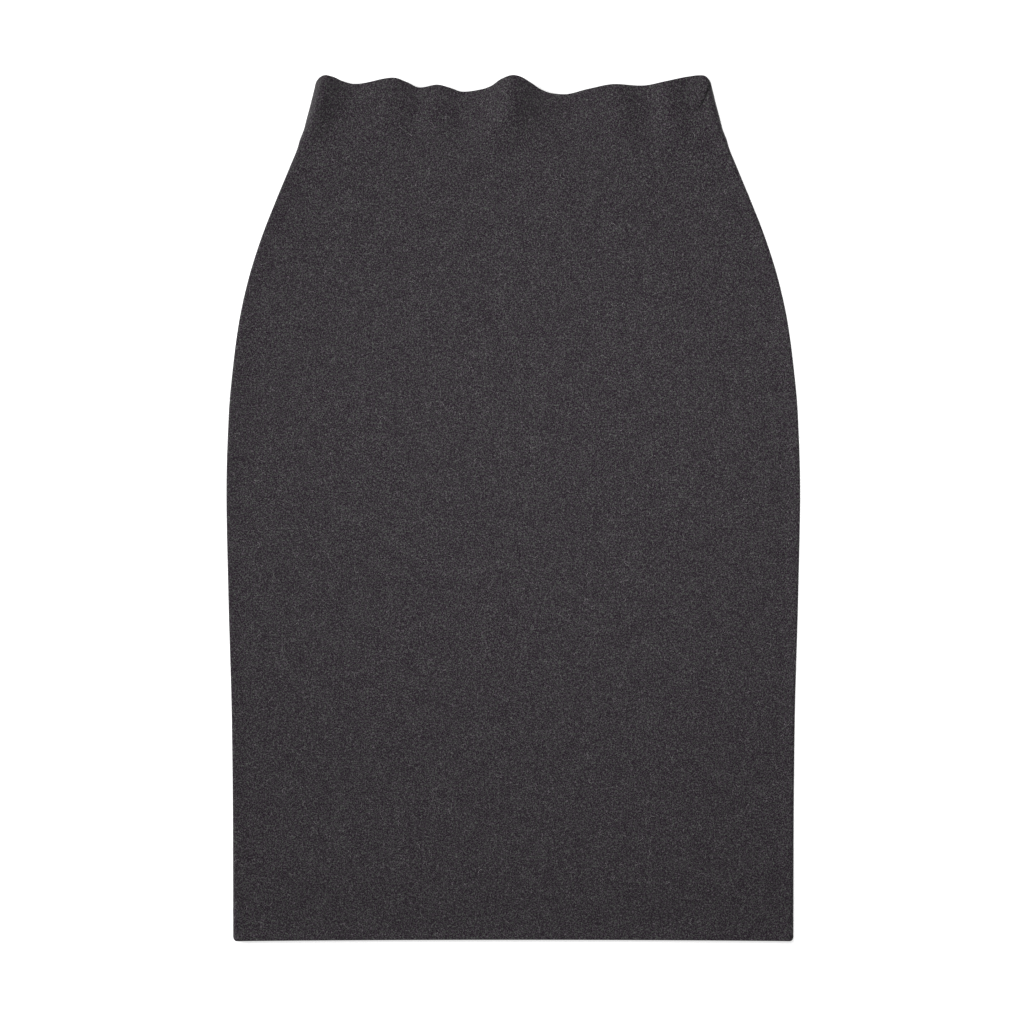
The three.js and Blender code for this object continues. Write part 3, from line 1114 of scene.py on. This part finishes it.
@dataclass
class StitchTree:
    """A Geometry Nodes tree that lays stitches along a line.

    Args:
        bulge: How far a stitch stands out, in radii of its thread.
        steps: How many stretches a stitch has.
        sides: How many sides its thread has.
    """

    bulge: float = 2.5
    steps: int = 4
    sides: int = 5

    def __post_init__(self) -> None:
        """Build the tree, with its sizes as named inputs."""
        sizes = dict.fromkeys(("Pitch", "Stitch Length", "Thread Radius"), "Float")
        inputs = {"Geometry": "Geometry", **sizes, "Material": "Material"}
        graph = new_graph("Geometry", "stitches_along_line", inputs, ["Geometry"])
        self.tree = graph.tree
        given = graph.add("NodeGroupInput").outputs
        radius = given["Thread Radius"]
        line = graph.get("GeometryNodeMeshToCurve", {"Mesh": given["Geometry"]})
        spacing = {"Curve": line, "Length": given["Pitch"]}
        spaced = graph.get("GeometryNodeResampleCurve", spacing, mode="LENGTH")
        half = graph.math("MULTIPLY", given["Stitch Length"], 0.5)
        start = graph.point(z=graph.math("MULTIPLY", half, -1.0))
        middle = graph.point(x=graph.math("MULTIPLY", radius, self.bulge))
        points = [start, middle, graph.point(z=half)]
        stitch = graph.strand(points, radius, self.steps, self.sides)
        normal = {"Vector": graph.get("GeometryNodeInputNormal")}
        turn = graph.get("FunctionNodeAlignRotationToVector", normal, axis="X", pivot_axis="Z")
        placing = {"Points": spaced, "Instance": stitch, "Rotation": turn}
        graph.give(graph.get("GeometryNodeInstanceOnPoints", placing), given["Material"])


@dataclass
class NapTree:
    """A Geometry Nodes tree that scatters loose curled fibres over a surface.

    Args:
        shade_name: The attribute that holds each fibre's shade.
        bends: How far the fibres' middles stand aside, as shares of their length.
        steps: How many stretches a fibre has.
        sides: How many sides it has.
        size_range: The smallest and the largest size of a fibre, as shares of its length.
        size_seed: The seed of the sizes.
        shade_seed: The seed of the shades.
        shade_skew: The power that makes pale fibres rare.
    """

    shade_name: str
    bends: tuple[float, ...] = (0.16, 0.34, -0.24, -0.42)
    steps: int = 5
    sides: int = 3
    size_range: tuple[float, float] = (0.45, 1.3)
    size_seed: int = 7
    shade_seed: int = 11
    shade_skew: float = 2.2

    def __post_init__(self) -> None:
        """Build the tree, with its sizes and its seed as named inputs."""
        sizes = dict.fromkeys(("Density", "Fibre Length", "Fibre Radius", "Lift"), "Float")
        inputs = {"Geometry": "Geometry", **sizes, "Seed": "Int", "Material": "Material"}
        graph = new_graph("Geometry", "loose_fibres_on_cloth", inputs, ["Geometry"])
        self.tree = graph.tree
        given = graph.add("NodeGroupInput").outputs
        ground = {"Mesh": given["Geometry"], "Density": given["Density"], "Seed": given["Seed"]}
        scattered = graph.add("GeometryNodeDistributePointsOnFaces", ground).outputs
        curls = graph.add("GeometryNodeJoinGeometry")
        for bend in self.bends:
            graph.tree.links.new(self.fibre(graph, given, bend), curls.inputs[0])
        spin = graph.point(z=graph.random(0.0, math.tau, given["Seed"]))
        turning = {"Rotation": scattered["Rotation"], "Rotate By": spin}
        turned = graph.get("FunctionNodeRotateRotation", turning, rotation_space="LOCAL")
        placing = {
            "Points": scattered["Points"],
            "Instance": curls.outputs[0],
            "Pick Instance": True,
            "Rotation": turned,
            "Scale": graph.random(*self.size_range, self.size_seed),
        }
        placed = graph.get("GeometryNodeInstanceOnPoints", placing)
        shade = graph.math("POWER", graph.random(0.0, 1.0, self.shade_seed), self.shade_skew)
        shading = {"Geometry": placed, "Name": self.shade_name, "Value": shade}
        stored = graph.get("GeometryNodeStoreNamedAttribute", shading, domain="INSTANCE")
        graph.give(stored, given["Material"])

    def fibre(self, graph: NodeGraph, given: object, bend: float) -> Socket:
        """Add one curled fibre that lies on the cloth.

        Args:
            graph: The tree's graph.
            given: The outputs of the tree's input node.
            bend: How far its middle stands aside, as a share of its length.

        Returns:
            The fibre as an instance.
        """
        length = given["Fibre Length"]
        half = graph.math("MULTIPLY", length, 0.5)
        start = graph.point(x=graph.math("MULTIPLY", half, -1.0))
        middle = graph.point(y=graph.math("MULTIPLY", length, bend * 2.0), z=given["Lift"])
        points = [start, middle, graph.point(x=half)]
        solid = graph.strand(points, given["Fibre Radius"], self.steps, self.sides)
        return graph.get("GeometryNodeGeometryToInstance", {0: solid})


def run_nodes(
    source: bpy.types.Object, tree: bpy.types.NodeTree, inputs: dict[str, object], name: str
) -> bpy.types.Object:
    """Run a Geometry Nodes tree on an object and keep the result as a plain mesh.

    Args:
        source: The object that the tree works on, which is used up.
        tree: The tree.
        inputs: Values for its named inputs.
        name: The new piece's name.

    Returns:
        The new piece, with no modifier.
    """
    modifier = source.modifiers.new("nodes", "NODES")
    modifier.node_group = tree
    for item in tree.interface.items_tree:
        if item.in_out == "INPUT" and item.name in inputs:
            modifier[item.identifier] = inputs[item.name]
    source.update_tag()
    graph = bpy.context.evaluated_depsgraph_get()
    mesh = bpy.data.meshes.new_from_object(source.evaluated_get(graph), depsgraph=graph)
    mesh.name = name
    bpy.data.objects.remove(source, do_unlink=True)
    return new_object(mesh)


def declare(piece: bpy.types.Object) -> bpy.types.Object:
    """Let a piece ride on the body, log its size, and give it back."""
    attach(piece, BODY)
    count = sum(len(face.vertices) - 2 for face in piece.data.polygons)
    LOG.info("%s: %d triangles", piece.name, count)
    return piece


@dataclass
class Skirt:
    """The whole skirt: its two panels, its side seams' thread and its loose nap.

    Sizes are in millimetres. The panel's area and the fibres' density are by the square metre,
    and a stitch sinks in by radii of its thread.
    """

    form: SkirtForm = field(default_factory=SkirtForm)
    front_grid: MeshGrid = MeshGrid(
        across_step=2.0,
        turn_steps=6,
        fold_steps=8,
        waist_step=1.4,
        body_step=3.9,
        hem_step=2.8,
        inner_step=2.8,
        fine_from=136.0,
        fine_step=0.45,
    )
    back_grid: MeshGrid = MeshGrid(
        across_step=3.4,
        turn_steps=6,
        fold_steps=8,
        waist_step=3.0,
        body_step=7.0,
        hem_step=4.5,
        inner_step=4.0,
    )
    panel_area: float = 0.303
    seam_rows: int = 240
    seam_end_room: float = 1.0
    stitch_pitch: float = 2.5
    stitch_length: float = 1.0
    stitch_sink: float = 1.5
    thread_radius: float = 0.11
    bare_edge: float = 2.0
    fibre_density: float = 17000.0
    fibre_length: float = 3.8
    fibre_radius: float = 0.05
    fibre_lift: float = 0.12
    fibre_seed: int = 4

    def build(self, effects: YarnEffects) -> None:
        """Build, dress and declare every piece of the skirt.

        Args:
            effects: The shared shader groups.
        """
        cloth = ClothFinish().build(effects)
        front = Panel("front_cloth", FRONT_NODE, Facing.UP, self.form, self.front_grid)
        back = Panel("back_cloth", BACK_NODE, Facing.DOWN, self.form, self.back_grid)
        for panel in (front, back):
            piece = declare(panel.build())
            piece.data.materials.append(cloth)
            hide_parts(panel.node)
        thread = ThreadFinish().build(effects)
        stitches = StitchTree()
        sewn = [self.side_seam(front, side, stitches, thread) for side in Side]
        hairs = self.loose_fibres(front)

    @property
    def panel_width(self) -> float:
        """Width of one panel at the hip, in metres."""
        return 2.0 * max(row.half for row in self.form.sides) * MM

    @property
    def panel_length(self) -> float:
        """Length of one panel with its turned-in edges, in metres."""
        return (self.form.length + self.form.waist_turn_in + self.form.hem_turn_up) * MM

    def side_seam(
        self, panel: Panel, side: Side, tree: StitchTree, thread: bpy.types.Material
    ) -> bpy.types.Object:
        """Lay the ladder of stitches in the groove of a side seam.

        Args:
            panel: The front panel, whose edge the seam follows.
            side: Which side seam.
            tree: The tree that lays the stitches.
            thread: The thread's material.

        Returns:
            The stitches.
        """
        form = self.form
        last = form.outer_length - self.seam_end_room
        depths = np.linspace(self.seam_end_room, last, self.seam_rows)
        share = np.full(self.seam_rows, float(side.value))
        edge = panel.outer_points(share, np.full(self.seam_rows, math.pi / 2.0), depths)
        edge[:, 2] -= form.layer_gap / 2.0
        edge[:, 0] += side.value * (form.half_cloth - self.stitch_sink * self.thread_radius)
        mesh = bpy.data.meshes.new("seam_line")
        links = [(row, row + 1) for row in range(self.seam_rows - 1)]
        mesh.from_pydata((edge * MM).tolist(), links, [])
        inputs = {
            "Pitch": self.stitch_pitch * MM,
            "Stitch Length": self.stitch_length * MM,
            "Thread Radius": self.thread_radius * MM,
            "Material": thread,
        }
        name = f"{side.name.lower()}_seam_stitches"
        return declare(run_nodes(new_object(mesh), tree.tree, inputs, name))

    def loose_fibres(self, panel: Panel) -> bpy.types.Object:
        """Scatter the loose fibres of the nap over the front.

        Args:
            panel: The front panel.

        Returns:
            The fibres.
        """
        finish = HairFinish()
        inputs = {
            "Density": self.fibre_density,
            "Fibre Length": self.fibre_length * MM,
            "Fibre Radius": self.fibre_radius * MM,
            "Lift": self.fibre_lift * MM,
            "Seed": self.fibre_seed,
            "Material": finish.build(),
        }
        ground = panel.right_side("nap_ground", margin=self.bare_edge)
        return declare(run_nodes(ground, NapTree(finish.shade_name).tree, inputs, "loose_fibres"))


@dataclass(frozen=True)
class SoftLight:
    """One soft lamp that looks at a point of the floor.

    Args:
        name: The lamp's name.
        place: Where it stands, in metres.
        aim: The point that it looks at.
        size: The side of its square face.
        power: Its power in watts.
    """

    name: str
    place: tuple[float, float, float]
    aim: tuple[float, float, float]
    size: float
    power: float

    def build(self) -> None:
        """Put the lamp into the scene."""
        data = bpy.data.lights.new(self.name, "AREA")
        data.shape = "SQUARE"
        data.size = self.size
        data.energy = self.power
        lamp = bpy.data.objects.new(self.name, data)
        lamp.location = self.place
        towards = Vector(self.aim) - Vector(self.place)
        lamp.rotation_euler = towards.to_track_quat("-Z", "Y").to_euler()
        bpy.context.scene.collection.objects.link(lamp)


@dataclass(frozen=True)
class Studio:
    """The pale floor, the soft light and the camera straight above."""

    picture_width: float = 787.9
    picture_pixels: float = 1024.0
    skirt_centre_x: float = 513.3
    skirt_centre_y: float = 508.3
    lens: float = 400.0
    sensor: float = 36.0
    clip_end: float = 20.0
    floor_half: float = 3.0
    world_strength: float = 0.22
    lamps: tuple[SoftLight, ...] = (
        SoftLight("key", (-2.86, 0.72, 2.07), (0.0, 0.0, 0.0), 1.35, 102.0),
        SoftLight("overhead", (0.07, 0.10, 0.64), (0.07, 0.10, 0.0), 0.45, 3.6),
    )

    def build(self) -> None:
        """Build the floor, the lamps, the world and the camera."""
        half = self.floor_half
        corners = np.array([(-half, -half, 0), (half, -half, 0), (half, half, 0), (-half, half, 0)])
        floor = new_object(new_mesh("floor", corners.astype(float), np.array([[0, 1, 2, 3]])))
        floor.data.materials.append(FloorFinish().build())
        for lamp in self.lamps:
            lamp.build()
        self.build_world()
        self.build_camera()
        bpy.context.scene.view_settings.view_transform = "Standard"
        LOG.info("studio: floor, %d lamps and camera", len(self.lamps))

    def build_world(self) -> None:
        """Fill the room with an even white light."""
        world = bpy.data.worlds.new("white_room")
        world.use_nodes = True
        background = world.node_tree.nodes["Background"]
        background.inputs["Color"].default_value = (1.0, 1.0, 1.0, 1.0)
        background.inputs["Strength"].default_value = self.world_strength
        bpy.context.scene.world = world

    def build_camera(self) -> None:
        """Hang the camera over the skirt, with the waist at the top of the picture."""
        data = bpy.data.cameras.new("camera")
        data.lens = self.lens
        data.sensor_width = self.sensor
        data.clip_end = self.clip_end
        camera = bpy.data.objects.new("camera", data)
        scale = self.picture_width / self.picture_pixels
        middle = self.picture_pixels / 2.0
        x = (middle - self.skirt_centre_x) * scale * MM
        y = (self.skirt_centre_y - middle) * scale * MM
        height = self.picture_width * MM * self.lens / self.sensor
        camera.location = (x, y, height)
        bpy.context.scene.collection.objects.link(camera)
        bpy.context.scene.camera = camera


def main() -> None:
    """Build the skirt and the studio, and log the triangle count of each piece."""
    logging.basicConfig(level=logging.INFO, format="%(name)s %(message)s")
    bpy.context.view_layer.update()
    Studio().build()
    Skirt().build(YarnEffects())
    LOG.info("sizes written")


if __name__ == "__main__":
    main()
